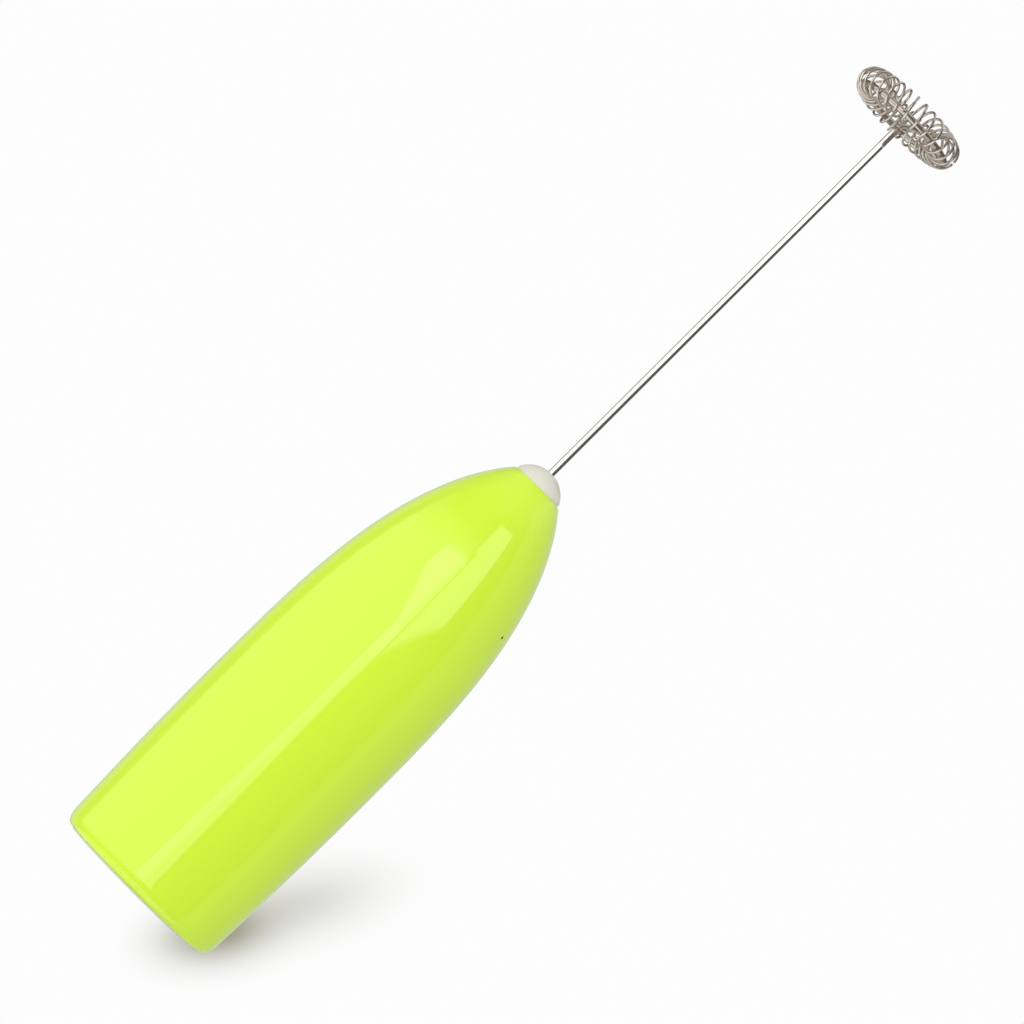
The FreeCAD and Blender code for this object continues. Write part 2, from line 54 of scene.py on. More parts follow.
class Nodes:
    """A small helper that adds and links shader nodes in one tree."""

    def __init__(self, tree):
        self.tree = tree

    def add(self, kind, inputs=None, **settings):
        node = self.tree.nodes.new(kind)
        for key, value in settings.items():
            setattr(node, key, value)
        for key, value in (inputs or {}).items():
            if isinstance(value, bpy.types.NodeSocket):
                self.tree.links.new(value, node.inputs[key])
            else:
                node.inputs[key].default_value = value
        return node

    def link(self, source, target):
        self.tree.links.new(source, target)

    def math(self, operation, first, second=0.0):
        return self.add("ShaderNodeMath", {0: first, 1: second}, operation=operation).outputs[0]

    def noise(self, vector, scale, detail=3.0, roughness=0.5):
        node = self.add("ShaderNodeTexNoise", {"Vector": vector, "Scale": scale, "Detail": detail,
                                               "Roughness": roughness})
        return node.outputs["Fac"]

    def blend(self, fac, first, second):
        """Colour that runs from the first to the second as fac goes from 0 to 1."""
        node = self.add("ShaderNodeMix", data_type="RGBA")
        for socket, value in ((node.inputs[0], fac), (node.inputs[6], first),
                              (node.inputs[7], second)):
            if isinstance(value, bpy.types.NodeSocket):
                self.tree.links.new(value, socket)
            else:
                socket.default_value = value
        return node.outputs[2]

    def spread(self, value, low, high, out_low=0.0, out_high=1.0):
        """Maps low..high to out_low..out_high, and holds the ends beyond them."""
        node = self.add("ShaderNodeMapRange", {0: value, 1: low, 2: high, 3: out_low, 4: out_high})
        return node.outputs[0]


def rgb(red, green, blue):
    """A colour given in sRGB from 0 to 255, as the linear values that shaders take."""
    def linear(value):
        value /= 255
        return value / 12.92 if value <= 0.04045 else ((value + 0.055) / 1.055) ** 2.4
    return (linear(red), linear(green), linear(blue), 1.0)


def darker(colour, factor):
    return (*(channel * factor for channel in colour[:3]), 1.0)


def material(name, colour, roughness, metallic=0.0, grain=0.0, grain_scale=3000.0, stretch=None,
             tint=0.0, rough_spread=0.0, **extra):
    """A principled material with fine bump, uneven roughness and slight colour variation."""
    mat = bpy.data.materials.new(name)
    mat.use_nodes = True
    mat.diffuse_color = colour
    n = Nodes(mat.node_tree)
    shader = mat.node_tree.nodes["Principled BSDF"]
    shader.inputs["Metallic"].default_value = metallic
    for key, value in extra.items():
        shader.inputs[key.replace("_", " ")].default_value = value
    where = n.add("ShaderNodeTexCoord").outputs["Object"]
    if stretch:
        where = n.add("ShaderNodeMapping", {"Vector": where, "Scale": stretch}).outputs[0]
    fine = n.noise(where, grain_scale, 4.0, 0.6)
    if tint:
        broad = n.noise(where, grain_scale / 30)
        n.link(n.blend(n.spread(broad, 0.35, 0.65), colour, darker(colour, 1 - tint)),
               shader.inputs["Base Color"])
    n.link(n.spread(fine, 0.3, 0.7, roughness - rough_spread, roughness + rough_spread),
           shader.inputs["Roughness"])
    bump = n.add("ShaderNodeBump", {"Height": fine, "Strength": grain, "Distance": 0.05 * MM})
    n.link(bump.outputs["Normal"], shader.inputs["Normal"])
    return mat


LIME = rgb(209, 243, 54)
MATERIALS = {
    "shell_gloss": material("shell_gloss", LIME, 0.06, grain=0.02, grain_scale=700, tint=0.015,
                            rough_spread=0.01, Coat_Weight=0.5, Coat_Roughness=0.02),
    "pale_plastic": material("pale_plastic", rgb(222, 222, 208), 0.42, grain=0.35,
                             grain_scale=5200, tint=0.04, rough_spread=0.06),
    "core_plastic": material("core_plastic", rgb(206, 208, 204), 0.38, grain=0.25,
                             grain_scale=3800, tint=0.05, rough_spread=0.07),
    "contact_brass": material("contact_brass", rgb(214, 182, 106), 0.24, 1.0, grain=0.3,
                              grain_scale=2400, stretch=(4, 4, 0.3), tint=0.12,
                              rough_spread=0.08),
    "spring_steel": material("spring_steel", rgb(214, 214, 212), 0.16, 1.0, grain=0.1, tint=0.08,
                             rough_spread=0.05),
    "motor_steel": material("motor_steel", rgb(190, 193, 196), 0.3, 1.0, grain=0.35,
                            grain_scale=2600, stretch=(1, 1, 0.15), tint=0.1,
                            rough_spread=0.08),
    "bell_plastic": material("bell_plastic", rgb(226, 221, 206), 0.45, grain=0.2, tint=0.05,
                             rough_spread=0.05),
    "magnet_ferrite": material("magnet_ferrite", rgb(58, 58, 62), 0.6, grain=0.7,
                               grain_scale=4500, tint=0.25, rough_spread=0.1),
    "bush_bronze": material("bush_bronze", rgb(176, 134, 84), 0.42, 1.0, grain=0.6,
                            grain_scale=6000, tint=0.2, rough_spread=0.1),
    "shaft_steel": material("shaft_steel", rgb(200, 200, 202), 0.15, 1.0, grain=0.15,
                            stretch=(1, 1, 8), tint=0.05, rough_spread=0.05),
    "core_steel": material("core_steel", rgb(112, 112, 116), 0.4, 1.0, grain=0.6,
                           grain_scale=900, stretch=(0.2, 0.2, 5), tint=0.3,
                           rough_spread=0.1),
    "winding_copper": material("winding_copper", rgb(178, 92, 44), 0.3, 0.8, grain=1.0,
                               grain_scale=1400, stretch=(0.4, 0.4, 4), tint=0.3,
                               rough_spread=0.08),
    "commutator_copper": material("commutator_copper", rgb(206, 134, 84), 0.25, 1.0, grain=0.3,
                                  stretch=(0.5, 0.5, 6), tint=0.15, rough_spread=0.08),
    "coupling_plastic": material("coupling_plastic", rgb(52, 52, 54), 0.42, grain=0.2,
                                 tint=0.15, rough_spread=0.05),
    "whisk_steel": material("whisk_steel", rgb(234, 232, 228), 0.07, 1.0, tint=0.03,
                            rough_spread=0.02),
    "coil_steel": material("coil_steel", rgb(226, 217, 206), 0.14, 1.0, tint=0.1,
                           rough_spread=0.04),
    # painted shade: dark colour for the vent hole's wall, so that the hole looks dark
    "hole_shade": material("hole_shade", rgb(40, 44, 18), 0.7, grain=0.1, tint=0.1,
                           rough_spread=0.05),
    "knob_plastic": material("knob_plastic", rgb(84, 86, 88), 0.45, grain=0.3,
                             grain_scale=4200, tint=0.1, rough_spread=0.06),
    "cell_steel": material("cell_steel", rgb(204, 203, 198), 0.22, 1.0, grain=0.15, tint=0.08,
                           rough_spread=0.06),
    "cell_seal": material("cell_seal", rgb(38, 38, 40), 0.5, grain=0.2, tint=0.1,
                          rough_spread=0.05),
}


# ---------------------------------------------------------------- mesh helpers

def mesh_object(name, vertices, faces, mat, body, replaced=(), sharp=40):
    """A smooth-shaded piece that rides on a body. Edges over sharp degrees stay sharp."""
    mesh = bpy.data.meshes.new(name)
    mesh.from_pydata([tuple(v) for v in vertices], [], faces)
    mesh.validate()
    bm = bmesh.new()
    bm.from_mesh(mesh)
    bmesh.ops.recalc_face_normals(bm, faces=bm.faces)
    bm.to_mesh(mesh)
    bm.free()
    mesh.polygons.foreach_set("use_smooth", [True] * len(mesh.polygons))
    mesh.set_sharp_from_angle(angle=math.radians(sharp))
    obj = bpy.data.objects.new(name, mesh)
    bpy.context.collection.objects.link(obj)
    mesh.materials.append(MATERIALS[mat] if isinstance(mat, str) else mat)
    finish_piece(obj, body, replaced)
    return obj


def finish_piece(obj, body, replaced):
    """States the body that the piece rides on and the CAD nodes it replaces."""
    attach(obj, body)
    if replaced:
        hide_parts(*replaced)


def ring_faces(rings, around, closed=False):
    """Quads between rings of vertices that follow one another in the list."""
    faces = []
    last = rings if closed else rings - 1
    for r in range(last):
        low, high = r * around, ((r + 1) % rings) * around
        for k in range(around):
            following = (k + 1) % around
            faces.append((low + k, low + following, high + following, high + k))
    return faces


def rounded_profile(corners):
    """(radius, z) points of a turned outline whose corners (radius, z, rounding) are rounded."""
    points = []
    for n, (r, z, rounding) in enumerate(corners):
        if rounding == 0 or n in (0, len(corners) - 1):
            points.append((r, z))
            continue
        here = Vector((r, z))
        before = (Vector(corners[n - 1][:2]) - here).normalized()
        after = (Vector(corners[n + 1][:2]) - here).normalized()
        half = before.angle(after) / 2
        reach = rounding / math.tan(half)
        centre = here + (before + after).normalized() * (rounding / math.sin(half))
        start, end = here + before * reach - centre, here + after * reach - centre
        sweep = start.angle_signed(end)
        steps = 6
        for k in range(steps + 1):
            turned = start.copy()
            turned.rotate(Matrix.Rotation(-sweep * k / steps, 2))
            points.append(tuple(centre + turned))
    return points


def turned(name, corners, mat, body, x=0.0, around=96, replaced=(), slot=None, sharp=40):
    """A piece turned about an upright axis at x. The outline's ends either lie on the axis or
    meet each other."""
    points = rounded_profile([(r * MM, z * MM, c * MM) for r, z, c in corners])
    vertices = [(x * MM + r * math.cos(TAU * k / around), r * math.sin(TAU * k / around), z)
                for r, z in points for k in range(around)]
    closed = points[0][0] > 1e-6
    faces = ring_faces(len(points), around, closed)
    obj = mesh_object(name, vertices, faces, mat, body, replaced, sharp)
    weld(obj)
    return obj


def weld(obj):
    """Joins vertices that lie together, such as a ring of radius zero."""
    bm = bmesh.new()
    bm.from_mesh(obj.data)
    bmesh.ops.remove_doubles(bm, verts=bm.verts, dist=1e-7)
    bmesh.ops.recalc_face_normals(bm, faces=bm.faces)
    bm.to_mesh(obj.data)
    bm.free()


def tube(name, points, radius, around, mat, body, replaced=()):
    """A round wire through the points, with domed ends."""
    rings = []
    side = None
    for n, here in enumerate(points):
        ahead = (points[min(n + 1, len(points) - 1)] - points[max(n - 1, 0)]).normalized()
        if side is None:
            side = ahead.orthogonal().normalized()
        side = (side - ahead * side.dot(ahead)).normalized()
        rings.append((here, side.copy(), ahead.cross(side), ahead))
    circles = [(c, a, b, radius) for c, a, b, _ in rings]
    for share in (0.35, 0.75, 0.95):
        size = radius * math.sqrt(1 - share ** 2)
        first, last = rings[0], rings[-1]
        circles.insert(0, (first[0] - first[3] * radius * share * 0.5, first[1], first[2], size))
        circles.append((last[0] + last[3] * radius * share * 0.5, last[1], last[2], size))
    vertices = [c + a * (s * math.cos(TAU * k / around)) + b * (s * math.sin(TAU * k / around))
                for c, a, b, s in circles for k in range(around)]
    faces = ring_faces(len(circles), around)
    faces.append(tuple(range(around)))
    faces.append(tuple(range(len(vertices) - around, len(vertices))))
    return mesh_object(name, vertices, faces, mat, body, replaced, sharp=60)


# ---------------------------------------------------------------- shell

SHELL_LIFT, SHELL_LENGTH = 0.4, 106.85
HALF_WIDTH, HALF_DEPTH = 19.4, 14.3
BASE_PINCH, BELLY = 0.9, 42.2
NOSE_REACH, NOSE_POWER, NOSE_ROOT, ROUNDING_POWER = 68.6, 3.0, 1.46, 3.0
WALL, MOUTH_RADIUS = 1.7, 5.4
BASE_RUN, BASE_ROUND, LIP_RUN, LIP_ROUND = 2.8, 1.25, 0.5, 0.3
VENT_PLACE, VENT_AXIS, VENT_RADIUS = Vector((12.8, -3.0, 81.8)), Vector((2.7, -2.4, 0.6)), 0.3
VENT_DEPTH = 6


def shell_half(z):
    """Half width and half depth of the shell's outer surface at a height over its own base."""
    if z < BELLY:
        width = HALF_WIDTH - BASE_PINCH * ((BELLY - z) / BELLY) ** 2
    else:
        width = HALF_WIDTH * (1 - ((z - BELLY) / NOSE_REACH) ** NOSE_POWER) ** (1 / NOSE_ROOT)
    share = max(0.0, (z - BELLY) / (SHELL_LENGTH - BELLY))
    flat = HALF_DEPTH / HALF_WIDTH
    return width, width * (flat + (1 - flat) * share ** ROUNDING_POWER)


def shell_ring(z, inset, around):
    """The shell's oval at a height over its own base, moved inwards by the inset."""
    width, depth = shell_half(z)
    return [Vector(((width - inset) * math.cos(TAU * k / around),
                    (depth - inset) * math.sin(TAU * k / around), z + SHELL_LIFT)) * MM
            for k in range(around)]


def quarter(steps):
    """Angles from 0 to a right angle."""
    return [math.pi / 2 * k / steps for k in range(steps + 1)]


def shell_rings(around):
    """Rings from the mouth's edge over the lip, down the outside, under the base, up the inside
    and back through the mouth."""
    stations = [(SHELL_LENGTH - LIP_RUN * (1 - math.cos(a)), LIP_ROUND * (1 - math.sin(a)))
                for a in quarter(6)]
    run = SHELL_LENGTH - LIP_RUN - BASE_RUN
    stations += [(BASE_RUN + run * k / 150, 0.0) for k in range(149, -1, -1)]
    stations += [(BASE_RUN * (1 - math.sin(a)), BASE_ROUND * (1 - math.cos(a)))
                 for a in quarter(8)[1:]]
    stations += [(0.0, WALL - 0.1), (0.1, WALL)]
    heights = [2 + (SHELL_LENGTH - 2) * k / 80 for k in range(80)]
    stations += [(z, WALL) for z in heights if shell_half(z)[0] - WALL > MOUTH_RADIUS + 0.2]
    rings = [shell_ring(z, inset, around) for z, inset in stations]
    bore_low = stations[-1][0] + SHELL_LIFT + 0.5
    for z, radius in ((bore_low, MOUTH_RADIUS), (SHELL_LIFT + SHELL_LENGTH - 0.06, MOUTH_RADIUS)):
        rings.append([Vector((radius * math.cos(TAU * k / around),
                              radius * math.sin(TAU * k / around), z)) * MM
                      for k in range(around)])
    return rings


def pierce(obj, centre, direction, radius, depth):
    """Cuts a small round hole through a mesh. The hole's wall takes the second material, drawn
    dark as painted shade.
    """
    bm = bmesh.new()
    turn = direction.to_track_quat("Z", "Y").to_matrix().to_4x4()
    bmesh.ops.create_cone(bm, cap_ends=True, segments=24, radius1=radius, radius2=radius,
                          depth=depth, matrix=Matrix.Translation(centre) @ turn)
    mesh = bpy.data.meshes.new("drill")
    bm.to_mesh(mesh)
    bm.free()
    obj.data.materials.append(MATERIALS["hole_shade"])
    for mat in obj.data.materials:
        mesh.materials.append(mat)
    mesh.polygons.foreach_set("material_index", [1] * len(mesh.polygons))
    drill = bpy.data.objects.new("drill", mesh)
    bpy.context.collection.objects.link(drill)
    modifier = obj.modifiers.new("hole", "BOOLEAN")
    modifier.operation = "DIFFERENCE"
    modifier.solver = "EXACT"
    modifier.object = drill
    bpy.context.view_layer.update()
    evaluated = obj.evaluated_get(bpy.context.evaluated_depsgraph_get())
    cut = bpy.data.meshes.new_from_object(evaluated)
    obj.modifiers.clear()
    obj.data = cut
    cut.polygons.foreach_set("use_smooth", [True] * len(cut.polygons))
    cut.set_sharp_from_angle(angle=math.radians(40))
    bpy.data.objects.remove(drill)


def make_shell():
    """The lime shell, with the small vent hole in its side."""
    around = 192
    rings = shell_rings(around)
    vertices = [v for ring in rings for v in ring]
    skin = mesh_object("shell_skin", vertices, ring_faces(len(rings), around, closed=True),
                       "shell_gloss", "shell", ("outer_shell",))
    outward = VENT_AXIS.normalized()
    middle = (VENT_PLACE + outward * VENT_DEPTH / 2) * MM
    pierce(skin, middle, outward, VENT_RADIUS * MM, VENT_DEPTH * MM)


# ---------------------------------------------------------------- nose

DOME_RADIUS, DOME_CURVE, DOME_CENTRE, DOME_HOLE, DOME_EDGE = 5.25, 6.0, 105.0, 0.95, 0.12
COLLAR_TOP, COLLAR_FOOT, TAIL_FOOT = 104.0, 99.0, 95.2
TAIL_RADIUS, NOSE_HOLLOW, HOLLOW_TOP = 5.52, 3.1, 109.0


def make_nose():
    """The pale dome, with its collar and the tail that plugs into the core."""
    low, high = math.acos(DOME_RADIUS / DOME_CURVE), math.acos(DOME_HOLE / DOME_CURVE)
    dome = [(DOME_CURVE * math.cos(a), DOME_CENTRE + DOME_CURVE * math.sin(a), 0)
            for a in (high + (low - high) * k / 40 for k in range(41))]
    dome[0] = (DOME_HOLE + DOME_EDGE, dome[0][1], 0)
    outline = [(DOME_HOLE, HOLLOW_TOP, 0), (DOME_HOLE, dome[0][1] - DOME_EDGE, 0), *dome,
               (DOME_RADIUS, COLLAR_TOP + 0.02, 0), (5.82, COLLAR_TOP, 0.1),
               (6.7, COLLAR_FOOT + 0.05, 0.2), (TAIL_RADIUS, COLLAR_FOOT + 0.02, 0),
               (TAIL_RADIUS, TAIL_FOOT, 0.2), (NOSE_HOLLOW, TAIL_FOOT, 0.1),
               (NOSE_HOLLOW, HOLLOW_TOP, 0)]
    turned("nose_dome", outline, "pale_plastic", "chassis", around=128, replaced=("nose_cap",),
           slot="pale_plastic", sharp=30)


# ---------------------------------------------------------------- whisk

RING_HEIGHT, RING_RADIUS, COIL_RADIUS, COIL_WIRE, COIL_TURNS = 206.7, 9.4, 2.85, 0.25, 28
COIL_START, COIL_SWEEP = math.radians(8), math.radians(343)
LOOP_RADIUS, LOOP_DROP, LOOP_BEND, LOOP_END = 10.7, 1.3, 1.8, math.radians(354)
ROD_RADIUS, ROD_FOOT, DARKER_FOOT = 0.7, 101.6, 203.4


def on_circle(radius, angle, z):
    return Vector((radius * math.cos(angle), radius * math.sin(angle), z))


def bent_line(start, corners, end, steps=14):
    """Points along straight runs between corners (place, radius) that are rounded."""
    points, here = [start], start
    stops = [corner for corner, _ in corners[1:]] + [end]
    for (corner, radius), following in zip(corners, stops):
        before, after = (corner - here).normalized(), (following - corner).normalized()
        turn = before.angle(after)
        reach = radius * math.tan(turn / 2)
        inward = (after - before * before.dot(after)).normalized()
        bend = corner - before * reach
        points += [bend + before * (radius * math.sin(turn * k / steps))
                   + inward * (radius * (1 - math.cos(turn * k / steps)))
                   for k in range(steps + 1)]
        here = corner + after * reach
    return points + [end]


def rod_path():
    """Stem, arched spoke and loop, in one bent wire."""
    level = RING_HEIGHT - LOOP_DROP
    turn_in = math.sqrt(LOOP_RADIUS ** 2 - 2 * LOOP_RADIUS * LOOP_BEND)
    corners = [(Vector((0, 0, level - 0.8)), 1.2), (Vector((5.0, 0, level + 2.1)), 3.0),
               (Vector((8.2, 0, level)), 1.6)]
    stem = [Vector((0, 0, ROD_FOOT + (level - 3 - ROD_FOOT) * k / 12)) for k in range(12)]
    points = stem + bent_line(Vector((0, 0, level - 3)), corners, Vector((turn_in, 0, level)))
    join = math.atan2(LOOP_BEND, turn_in)
    sweep = math.pi / 2 + join
    points += [Vector((turn_in + LOOP_BEND * math.sin(sweep * k / 12),
                       LOOP_BEND * (1 - math.cos(sweep * k / 12)), level))
               for k in range(1, 13)]
    points += [on_circle(LOOP_RADIUS, join + (LOOP_END - join) * k / 120, level)
               for k in range(1, 121)]
    return [point * MM for point in points]


def coil_path():
    """The long spring's wire, wound round a ring."""
    steps = COIL_TURNS * 44
    points = []
    for n in range(steps + 1):
        winding = TAU * COIL_TURNS * n / steps
        reach = RING_RADIUS + COIL_RADIUS * math.cos(winding)
        points.append(on_circle(reach, COIL_START + COIL_SWEEP * n / steps,
                                RING_HEIGHT - COIL_RADIUS * math.sin(winding)) * MM)
    return points


def darken_above(mat, foot):
    """Makes the steel's colour darker above a height, where the wire is bent into the loop."""
    n = Nodes(mat.node_tree)
    shader = mat.node_tree.nodes["Principled BSDF"]
    height = n.add("ShaderNodeSeparateXYZ",
                   {0: n.add("ShaderNodeTexCoord").outputs["Object"]}).outputs["Z"]
    share = n.spread(height, (foot - 0.4) * MM, (foot + 0.4) * MM)
    plain = shader.inputs["Base Color"].links[0].from_socket
    # the steel's colour turns darker above the foot
    n.link(n.blend(share, plain, rgb(206, 196, 185)), shader.inputs["Base Color"])


def make_whisk():
    """The bent wire and the coil on its loop."""
    darken_above(MATERIALS["whisk_steel"], DARKER_FOOT)
    tube("whisk_wire", rod_path(), ROD_RADIUS * MM, 32, "whisk_steel", "rotor", ("whisk_rod",))
    tube("whisk_spring", coil_path(), COIL_WIRE * MM, 14, "coil_steel", "rotor",
         ("whisk_coil",))


# ---------------------------------------------------------------- cells

def film_material(name, plain, band, band_low, band_high):
    """Printed shrink film: one colour with a band of another, under a clear gloss."""
    mat = material(name, plain, 0.3, grain=0.08, grain_scale=900, rough_spread=0.04,
                   Coat_Weight=0.6, Coat_Roughness=0.08)
    n = Nodes(mat.node_tree)
    shader = mat.node_tree.nodes["Principled BSDF"]
    height = n.add("ShaderNodeSeparateXYZ",
                   {0: n.add("ShaderNodeTexCoord").outputs["Object"]}).outputs["Z"]
    edge = 0.05 * MM
    inside = n.math("MULTIPLY", n.spread(height, band_low - edge, band_low + edge),
                    n.spread(height, band_high - edge, band_high + edge, 1.0, 0.0))
    n.link(n.blend(inside, plain, band), shader.inputs["Base Color"])
    return mat


def make_cell(name, node, slot, x, nub_up):
    """An AA cell: film sleeve folded over both ends, steel can, seal ring and nub."""
    low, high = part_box(node)[0][2] / MM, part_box(node)[1][2] / MM
    base, direction = (low, 1) if nub_up else (high, -1)

    def up(outline):
        return [(r, base + direction * z, c) for r, z, c in outline]

    span = (base + direction * 36.5, base + direction * 46.5)
    film = film_material(f"{name}_film", rgb(232, 234, 232), rgb(32, 116, 124),
                         min(span) * MM, max(span) * MM)
    turned(f"{name}_film", up([(6.3, 0.0, 0), (7.25, 0.0, 0.5), (7.25, 49.5, 0.5),
                               (6.2, 49.5, 0), (6.2, 49.3, 0), (7.0, 49.3, 0.4),
                               (7.0, 0.25, 0.4), (6.3, 0.25, 0)]),
           film, "chassis", x, 80, (node,), slot)
    can = turned(f"{name}_can", up([(0, 0.45, 0), (3.6, 0.45, 0.1), (4.0, 0.12, 0.1),
                                    (6.2, 0.12, 0.3), (6.9, 0.5, 0.4), (6.9, 49.0, 0.4),
                                    (5.9, 49.1, 0.2), (5.7, 48.7, 0.1), (4.9, 48.7, 0.1),
                                    (4.6, 49.2, 0.2), (2.75, 49.3, 0.2), (2.75, 50.5, 0.35),
                                    (0, 50.5, 0)]), "cell_steel", "chassis", x, 80)
    seal = turned(f"{name}_seal", up([(4.75, 48.6, 0), (5.85, 48.6, 0), (5.85, 48.95, 0.1),
                                      (4.75, 48.95, 0.1)]), "cell_seal", "chassis", x, 64)


# ---------------------------------------------------------------- carried-over CAD nodes

NODE_MATERIALS = {
    "base_cap": "pale_plastic", "chassis_frame": "core_plastic",
    "positive_strip": "contact_brass", "negative_strip": "contact_brass",
    "negative_contact": "contact_brass", "front_bridge": "contact_brass",
    "rear_spring": "spring_steel", "front_spring": "spring_steel",
    "motor_can": "motor_steel", "motor_end_bell": "bell_plastic",
    "motor_magnet_left": "magnet_ferrite", "motor_magnet_right": "magnet_ferrite",
    "motor_rear_bush": "bush_bronze", "motor_front_bush": "bush_bronze",
    "motor_terminals": "contact_brass", "motor_brushes": "contact_brass",
    "motor_shaft": "shaft_steel", "armature_core": "core_steel",
    "armature_windings": "winding_copper", "commutator": "commutator_copper",
    "drive_coupling": "coupling_plastic", "switch_slider": "knob_plastic",
    "switch_wiper": "contact_brass",
}


def dress_nodes():
    """Gives each CAD node that is seen as it is a material of its own."""
    for node, mat in NODE_MATERIALS.items():
        slots = nodes[node].data.materials
        for k in range(len(slots)):
            slots[k] = MATERIALS[mat]


# ---------------------------------------------------------------- studio

def make_world():
    """A plain white backdrop. Reflections and soft light come from a studio of pale panels
    around the object: azimuth is measured from -Y towards +X, in degrees."""
    world = bpy.data.worlds.new("studio")
    bpy.context.scene.world = world
    world.use_nodes = True
    n = Nodes(world.node_tree)
    world.node_tree.nodes.clear()
    axes = n.add("ShaderNodeSeparateXYZ",
                 {0: n.add("ShaderNodeTexCoord").outputs["Generated"]}).outputs
    azimuth = n.math("DEGREES", n.math("ARCTAN2", axes[0], n.math("MULTIPLY", axes[1], -1.0)))
    height = n.math("DEGREES", n.math("ARCSINE", axes[2]))

    def panel(az_low, az_high, low, high, strength, soft=2.0, soft_up=3.0, slant=0.0, flare=0.0):
        """Softly bounded. The lower edge rises by slant degrees for each degree of azimuth, and
        each side moves out by flare degrees for each degree below the horizon."""
        outward = n.math("MULTIPLY", n.math("MINIMUM", height, 0.0), -flare)
        across = n.math("MULTIPLY",
                        n.spread(n.math("ADD", azimuth, outward), az_low - soft, az_low + soft),
                        n.spread(n.math("SUBTRACT", azimuth, outward), az_high - soft,
                                 az_high + soft, 1.0, 0.0))
        raised = n.math("SUBTRACT", height,
                        n.math("MULTIPLY", n.math("SUBTRACT", azimuth, az_low), slant))
        upright = n.math("MULTIPLY", n.spread(raised, low - soft_up, low + soft_up),
                         n.spread(height, high - soft_up, high + soft_up, 1.0, 0.0))
        return n.math("MULTIPLY", n.math("MULTIPLY", across, upright), strength)

    total = 0.0
    for settings in PANELS:
        total = n.math("ADD", total, panel(*settings))
    total = n.math("ADD", total, ROOM)
    lit = n.add("ShaderNodeBackground", {"Color": (1.0, 1.0, 0.99, 1.0), "Strength": total})
    plain = n.add("ShaderNodeBackground", {"Color": (1.0, 1.0, 1.0, 1.0), "Strength": 0.985})
    seen = n.add("ShaderNodeLightPath").outputs["Is Camera Ray"]
    mixed = n.add("ShaderNodeMixShader", {0: seen, 1: lit.outputs[0], 2: plain.outputs[0]})
    output = n.add("ShaderNodeOutputWorld")
    n.link(mixed.outputs[0], output.inputs["Surface"])


ROOM = 0.3
# Each panel's first and last azimuth, lower and upper edge, strength, softness to the sides and
# up and down, slant and flare.
PANELS = [
    (-170, -123, -60, 22, 0.33, 3.0, 7.0),
    (-103, 0, -18, 22, 0.91, 3.0, 6.0),
    (-140, 60, -80, -36, 0.9, 4.0, 4.0),
    (-4.5, 4.2, -13, 3.9, 1.2, 0.4, 0.5, 0.0, 0.7),
    (-27, 4.8, 12, 17.6, 1.5, 0.4, 0.8, -0.34),
    (6.1, 32, 2.2, 36, 1.5, 0.4, 0.8, 0.2),
    (1.8, 6.1, 21, 36, 1.5, 0.4, 0.8),
    (54, 175, -60, 60, 0.35, 2.0, 5.0),
    (-180, 180, 42, 95, 0.35, 1.0, 10.0),
]


def make_light(name, place, target, size, power):
    """A round soft light that isn't seen in reflections."""
    data = bpy.data.lights.new(name, "AREA")
    data.shape = "DISK"
    data.size = size
    data.energy = power
    light = bpy.data.objects.new(name, data)
    bpy.context.collection.objects.link(light)
    light.location = place
    light.rotation_mode = "QUATERNION"
    light.rotation_quaternion = (Vector(target) - Vector(place)).to_track_quat("-Z", "Y")
    light.visible_glossy = False


CAMERA_PLACE, CAMERA_AIM = Vector((-0.0001, -1.0, 0.0607)), Vector((-0.0001, 0, 0.1006))
CAMERA_ROLL, CAMERA_LENS = math.radians(44.9), 186.1


def view_axes():
    """The camera's right, up and backward directions. It looks along +Y from a little above
    the base, rolled so that the handle runs from the lower left to the upper right."""
    forward = (CAMERA_AIM - CAMERA_PLACE).normalized()
    upright = (Vector((0, 0, 1)) - forward * forward.z).normalized()
    sideways = forward.cross(upright)
    right = sideways * math.sin(CAMERA_ROLL) + upright * math.cos(CAMERA_ROLL)
    up = upright * math.sin(CAMERA_ROLL) - sideways * math.cos(CAMERA_ROLL)
    return right, up, -forward


def placed_on(axes, place):
    """The matrix of something that stands at a place, with its own axes along these."""
    return Matrix.Translation(place) @ Matrix(axes).transposed().to_4x4()


def staged(name, vertices, faces, mat):
    """A mesh that belongs to the studio."""
    mesh = bpy.data.meshes.new(name)
    mesh.from_pydata([tuple(v) for v in vertices], [], faces)
    mesh.materials.append(mat)
    obj = bpy.data.objects.new(name, mesh)
    bpy.context.collection.objects.link(obj)
    return obj


GROUND_PLACE, GROUND_RISE = Vector((0.0185, 0.004, 0.0)), 20
SHADOWS = [
    (0.0011, 0.0037, 0.0068, 0.0032, 0.066, 0.58),
    (0.0157, 0.0081, 0.0112, 0.0038, 0.180, 0.285),
]


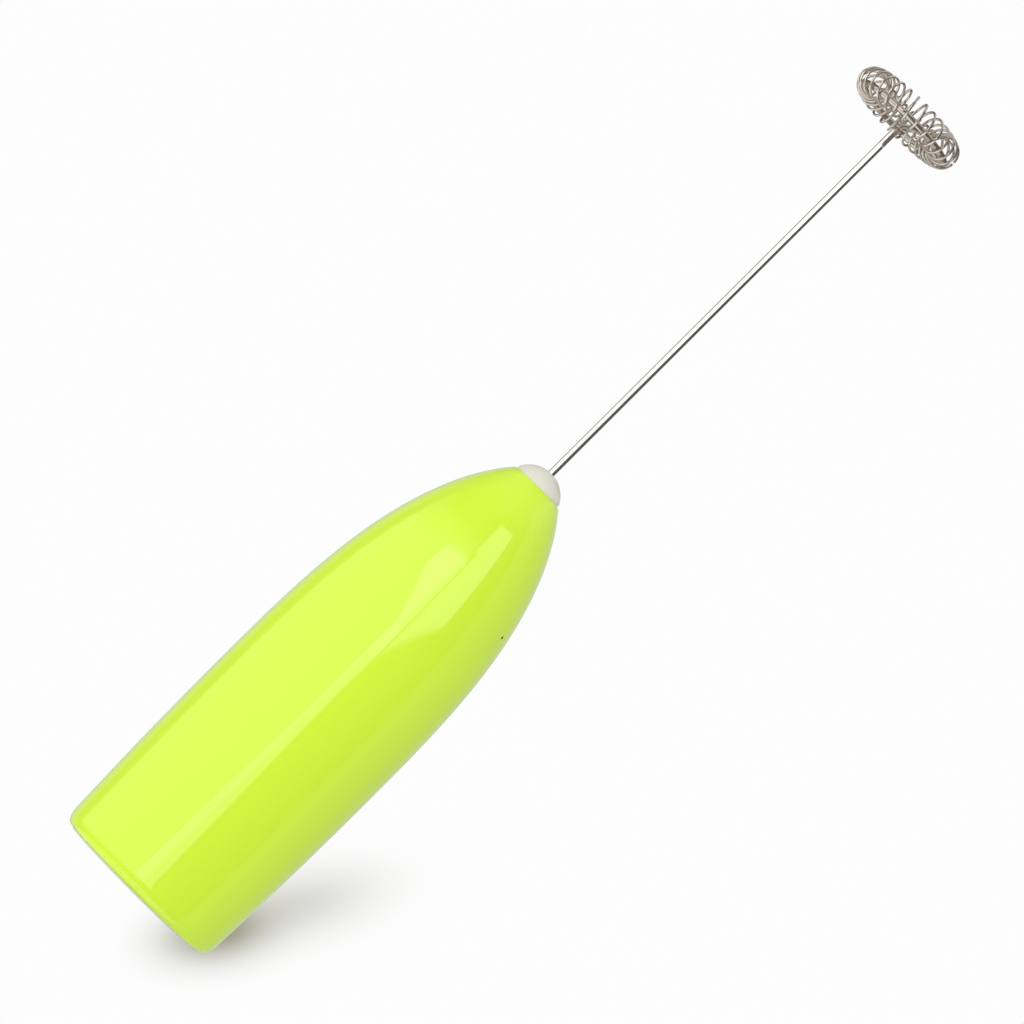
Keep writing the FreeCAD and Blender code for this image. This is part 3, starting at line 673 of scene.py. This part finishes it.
def make_ground():
    """The soft shadow under the corner of the base that is lowest in the camera's view, on
    ground that is level there and seen from GROUND_RISE above it: a clear card, darkened by two
    soft ovals. Each has its centre, its two half lengths, its turn and its strength, as they
    look from the camera."""
    mat = bpy.data.materials.new("ground_shadow")
    mat.use_nodes = True
    mat.node_tree.nodes.clear()
    n = Nodes(mat.node_tree)
    where = n.add("ShaderNodeTexCoord").outputs["Object"]
    total = 0.0
    for x, y, length, width, turn, strength in SHADOWS:
        placed = n.add("ShaderNodeMapping", {
            "Vector": where, "Location": (x, y, 0), "Rotation": (0, 0, turn),
            "Scale": (length, width, 1)}, vector_type="TEXTURE").outputs[0]
        square = n.add("ShaderNodeVectorMath", {0: placed, 1: placed},
                       operation="DOT_PRODUCT").outputs["Value"]
        fall = n.math("EXPONENT", n.math("MULTIPLY", square, -0.5))
        total = n.math("ADD", total, n.math("MULTIPLY", fall, strength))
    bright, blue = (n.math("SUBTRACT", 1.0, n.math("MULTIPLY", total, k)) for k in (1.0, 1.15))
    tone = n.add("ShaderNodeCombineColor", {0: bright, 1: bright, 2: blue}).outputs[0]
    clear = n.add("ShaderNodeBsdfTransparent", {"Color": tone})
    output = n.add("ShaderNodeOutputMaterial")
    n.link(clear.outputs[0], output.inputs["Surface"])
    right, up, back = view_axes()
    rise = math.radians(GROUND_RISE)
    away = (up * math.sin(rise) - back * math.cos(rise)) / math.sin(rise)
    normal = up * math.cos(rise) + back * math.sin(rise)
    corners = [(-0.04, -0.025, 0), (0.085, -0.025, 0), (0.085, 0.035, 0), (-0.04, 0.035, 0)]
    card = staged("ground", corners, [(0, 1, 2, 3)], mat)
    card.matrix_world = placed_on((right, away, normal), GROUND_PLACE)
    card.visible_diffuse = card.visible_glossy = card.visible_shadow = False


FLAGS = [
    (0.006, 38, 160, 0.1112, 0.2, 0.11),
    (0.006, -140, -116, 0.1112, 0.2, 0.07),
    (0.03, -14, 262, 0.2035, 0.24, 0.15),
]


def make_flags():
    """Dark cards round the stem and the whisk, seen only in their reflections. Each has its
    radius, its first and last azimuth, its lower and upper edge and its tone."""
    for number, (radius, start, end, low, high, tone) in enumerate(FLAGS):
        mat = bpy.data.materials.new(f"flag_{number}")
        mat.use_nodes = True
        mat.node_tree.nodes.clear()
        n = Nodes(mat.node_tree)
        glow = n.add("ShaderNodeEmission", {"Color": (1.0, 0.95, 0.9, 1.0), "Strength": tone})
        n.link(glow.outputs[0], n.add("ShaderNodeOutputMaterial").inputs["Surface"])
        steps = 36
        angles = [math.radians(start + (end - start) * k / steps) for k in range(steps + 1)]
        vertices = [Vector((radius * math.sin(a), -radius * math.cos(a), z))
                    for z in (low, high) for a in angles]
        faces = [(k, k + 1, steps + 2 + k, steps + 1 + k) for k in range(steps)]
        flag = staged(f"flag_{number}", vertices, faces, mat)
        flag.visible_camera = flag.visible_diffuse = flag.visible_shadow = False


def make_camera():
    data = bpy.data.cameras.new("camera")
    data.sensor_width = 36
    data.lens = CAMERA_LENS
    data.clip_start, data.clip_end = 0.01, 20
    camera = bpy.data.objects.new("camera", data)
    bpy.context.collection.objects.link(camera)
    camera.matrix_world = placed_on(view_axes(), CAMERA_PLACE)
    bpy.context.scene.camera = camera


def make_studio():
    make_world()
    make_ground()
    make_flags()
    handle = (0, 0, 0.08)
    make_light("key", (-0.75, -0.85, 0.9), handle, 0.9, 4.8)
    make_light("fill", (0.6, -1.0, 0.4), handle, 0.8, 1.3)
    make_light("side", (-0.9, 0.35, 0.3), handle, 0.6, 0.3)
    make_light("under", (-0.3, -0.3, -0.8), (0, 0, 0), 0.5, 0.8)
    make_camera()
    bpy.context.scene.view_settings.view_transform = "Standard"
    bpy.context.scene.view_settings.look = "None"


make_shell()
make_nose()
make_whisk()
make_cell("cell_a", "battery_cell_a", "cell_wrap_a", 7.7, nub_up=True)
make_cell("cell_b", "battery_cell_b", "cell_wrap_b", -7.7, nub_up=False)
dress_nodes()
make_studio()
